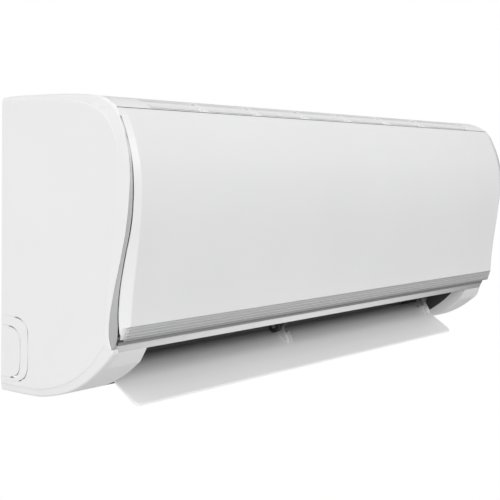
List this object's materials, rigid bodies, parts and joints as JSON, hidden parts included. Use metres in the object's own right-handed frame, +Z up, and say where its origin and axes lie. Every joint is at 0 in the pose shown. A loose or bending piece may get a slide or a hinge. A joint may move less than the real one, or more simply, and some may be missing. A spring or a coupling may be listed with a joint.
{
  "type": "mini split indoor unit",
  "caption": "Wall-mounted indoor unit of a split air conditioner with lift-up front panel, air filters, coil, cross-flow fan, open air louver and linked side-to-side vanes.",
  "frame": {"origin": "centre of the mounting plate's back face, the plane that lies on the wall", "axes": "+X along the width towards the electrics end, +Y into the wall, +Z up; the front faces -Y"},
  "size_m": [0.73, 0.1848, 0.2963],
  "materials": {
    "casing_plastic": "white satin moulded plastic",
    "panel_plastic": "white semi-gloss moulded plastic with a faint horizontal sheen",
    "louver_plastic": "white satin moulded plastic",
    "silver_trim": "silver, brushed along its length",
    "brushed_trim": "satin silver with long ridges",
    "chassis_plastic": "light grey matt moulded plastic",
    "vane_plastic": "grey matt plastic",
    "fan_plastic": "dark grey matt glass-filled plastic",
    "motor_casing": "black moulded resin",
    "galvanised_sheet": "galvanised sheet with spangle",
    "stepper_steel": "zinc plated",
    "fin_aluminium": "thin fins, blue-grey coating",
    "copper_pipe": "drawn copper, slightly dulled",
    "brass": "forged and turned brass",
    "steel": "bright turned steel",
    "rubber": "black rubber",
    "filter_mesh": "grey plastic frame with fine net",
    "control_plastic": "dark grey flame-resistant plastic",
    "control_cover": "galvanised sheet",
    "circuit_board": "green lacquered board",
    "terminal_resin": "black moulded resin",
    "button_plastic": "white moulded plastic"
  },
  "bodies": {
    "casing": {"front_frame": "casing_plastic", "side_trim_left": "silver_trim", "side_trim_right": "silver_trim", "lower_trim_strip": "silver_trim", "rear_chassis": "chassis_plastic", "drain_pan": "chassis_plastic", "bearing_holder": "chassis_plastic", "pipe_clamp": "chassis_plastic", "motor_clamp": "chassis_plastic", "vane_base_left": "vane_plastic", "vane_base_right": "vane_plastic", "fan_motor": "motor_casing", "mounting_plate": "galvanised_sheet", "coil_end_plate_left": "galvanised_sheet", "coil_end_plate_right": "galvanised_sheet", "louver_motor": "stepper_steel", "coil_front_lower": "fin_aluminium", "coil_front_upper": "fin_aluminium", "coil_rear": "fin_aluminium", "coil_tube": "copper_pipe", "gas_pipe": "copper_pipe", "liquid_pipe": "copper_pipe", "coil_sensor": "copper_pipe", "flare_nut_gas": "brass", "flare_nut_liquid": "brass", "frame_screw_left": "steel", "frame_screw_right": "steel", "button_spring": "steel", "fan_bearing": "rubber", "room_sensor": "rubber", "control_box": "control_plastic", "control_box_cover": "control_cover", "control_board": "circuit_board", "display_board": "circuit_board", "terminal_block": "terminal_resin"},
    "front_panel": {"front_panel": "panel_plastic", "panel_lower_trim": "brushed_trim"},
    "louver": {"louver": "louver_plastic", "louver_drive_spindle": "steel"},
    "fan": {"fan_wheel": "fan_plastic", "fan_stub_shaft": "steel", "motor_shaft": "steel"},
    "air_filter_left": {"air_filter_left": "filter_mesh"},
    "air_filter_right": {"air_filter_right": "filter_mesh"},
    "emergency_button": {"emergency_button": "button_plastic"},
    "vane_link_left": {"vane_link_left": "vane_plastic"},
    "vane_link_right": {"vane_link_right": "vane_plastic"},
    "vane_left_1": {"vane_left_1": "vane_plastic"},
    "vane_left_2": {"vane_left_2": "vane_plastic"},
    "vane_left_3": {"vane_left_3": "vane_plastic"},
    "vane_left_4": {"vane_left_4": "vane_plastic"},
    "vane_left_5": {"vane_left_5": "vane_plastic"},
    "vane_right_1": {"vane_right_1": "vane_plastic"},
    "vane_right_2": {"vane_right_2": "vane_plastic"},
    "vane_right_3": {"vane_right_3": "vane_plastic"},
    "vane_right_4": {"vane_right_4": "vane_plastic"},
    "vane_right_5": {"vane_right_5": "vane_plastic"}
  },
  "joints": [
    {"name": "front_panel_hinge", "type": "hinge", "parent": "casing", "child": "front_panel", "pos_m": [0, -0.1588, 0.1182], "axis": [-1, 0, 0], "range_deg": [0, 60]},
    {"name": "louver_hinge", "type": "hinge", "parent": "casing", "child": "louver", "pos_m": [0, -0.089, -0.117], "axis": [1, 0, 0], "range_deg": [-55.8, 18]},
    {"name": "fan_spin", "type": "hinge", "parent": "casing", "child": "fan", "pos_m": [0, -0.076, -0.032], "axis": [1, 0, 0], "continuous": true},
    {"name": "air_filter_left_lift", "type": "slide", "parent": "casing", "child": "air_filter_left", "axis": [0, 0, 1], "range_m": [0, 0.0045]},
    {"name": "air_filter_right_lift", "type": "slide", "parent": "casing", "child": "air_filter_right", "axis": [0, 0, 1], "range_m": [0, 0.0045]},
    {"name": "emergency_button_press", "type": "slide", "parent": "casing", "child": "emergency_button", "axis": [0, 1, 0], "range_m": [0, 0.0015], "stiffness_N_per_m": 400, "springref_m": -0.002, "deforming": ["button_spring"]},
    {"name": "vane_left_1_hinge", "type": "hinge", "parent": "casing", "child": "vane_left_1", "pos_m": [-0.27, -0.052, -0.094], "axis": [0, 1, 0], "range_deg": [-35, 35]},
    {"name": "vane_left_2_hinge", "type": "hinge", "parent": "casing", "child": "vane_left_2", "pos_m": [-0.22, -0.052, -0.094], "axis": [0, 1, 0], "range_deg": [-35, 35]},
    {"name": "vane_left_3_hinge", "type": "hinge", "parent": "casing", "child": "vane_left_3", "pos_m": [-0.17, -0.052, -0.094], "axis": [0, 1, 0], "range_deg": [-35, 35]},
    {"name": "vane_left_4_hinge", "type": "hinge", "parent": "casing", "child": "vane_left_4", "pos_m": [-0.12, -0.052, -0.094], "axis": [0, 1, 0], "range_deg": [-35, 35]},
    {"name": "vane_left_5_hinge", "type": "hinge", "parent": "casing", "child": "vane_left_5", "pos_m": [-0.07, -0.052, -0.094], "axis": [0, 1, 0], "range_deg": [-35, 35]},
    {"name": "vane_link_left_pin", "type": "hinge", "parent": "vane_left_1", "child": "vane_link_left", "pos_m": [-0.27, -0.107, -0.102], "axis": [0, 1, 0], "range_deg": [-35, 35]},
    {"name": "vane_right_1_hinge", "type": "hinge", "parent": "casing", "child": "vane_right_1", "pos_m": [0.04, -0.052, -0.094], "axis": [0, 1, 0], "range_deg": [-35, 35]},
    {"name": "vane_right_2_hinge", "type": "hinge", "parent": "casing", "child": "vane_right_2", "pos_m": [0.09, -0.052, -0.094], "axis": [0, 1, 0], "range_deg": [-35, 35]},
    {"name": "vane_right_3_hinge", "type": "hinge", "parent": "casing", "child": "vane_right_3", "pos_m": [0.14, -0.052, -0.094], "axis": [0, 1, 0], "range_deg": [-35, 35]},
    {"name": "vane_right_4_hinge", "type": "hinge", "parent": "casing", "child": "vane_right_4", "pos_m": [0.19, -0.052, -0.094], "axis": [0, 1, 0], "range_deg": [-35, 35]},
    {"name": "vane_right_5_hinge", "type": "hinge", "parent": "casing", "child": "vane_right_5", "pos_m": [0.24, -0.052, -0.094], "axis": [0, 1, 0], "range_deg": [-35, 35]},
    {"name": "vane_link_right_pin", "type": "hinge", "parent": "vane_right_1", "child": "vane_link_right", "pos_m": [0.04, -0.107, -0.102], "axis": [0, 1, 0], "range_deg": [-35, 35]}
  ],
  "couplings": [
    {"joint": "vane_left_2_hinge", "follows": "vane_left_1_hinge", "ratio": 1},
    {"joint": "vane_left_3_hinge", "follows": "vane_left_1_hinge", "ratio": 1},
    {"joint": "vane_left_4_hinge", "follows": "vane_left_1_hinge", "ratio": 1},
    {"joint": "vane_left_5_hinge", "follows": "vane_left_1_hinge", "ratio": 1},
    {"joint": "vane_link_left_pin", "follows": "vane_left_1_hinge", "ratio": -1},
    {"joint": "vane_right_2_hinge", "follows": "vane_right_1_hinge", "ratio": 1},
    {"joint": "vane_right_3_hinge", "follows": "vane_right_1_hinge", "ratio": 1},
    {"joint": "vane_right_4_hinge", "follows": "vane_right_1_hinge", "ratio": 1},
    {"joint": "vane_right_5_hinge", "follows": "vane_right_1_hinge", "ratio": 1},
    {"joint": "vane_link_right_pin", "follows": "vane_right_1_hinge", "ratio": -1}
  ]
}
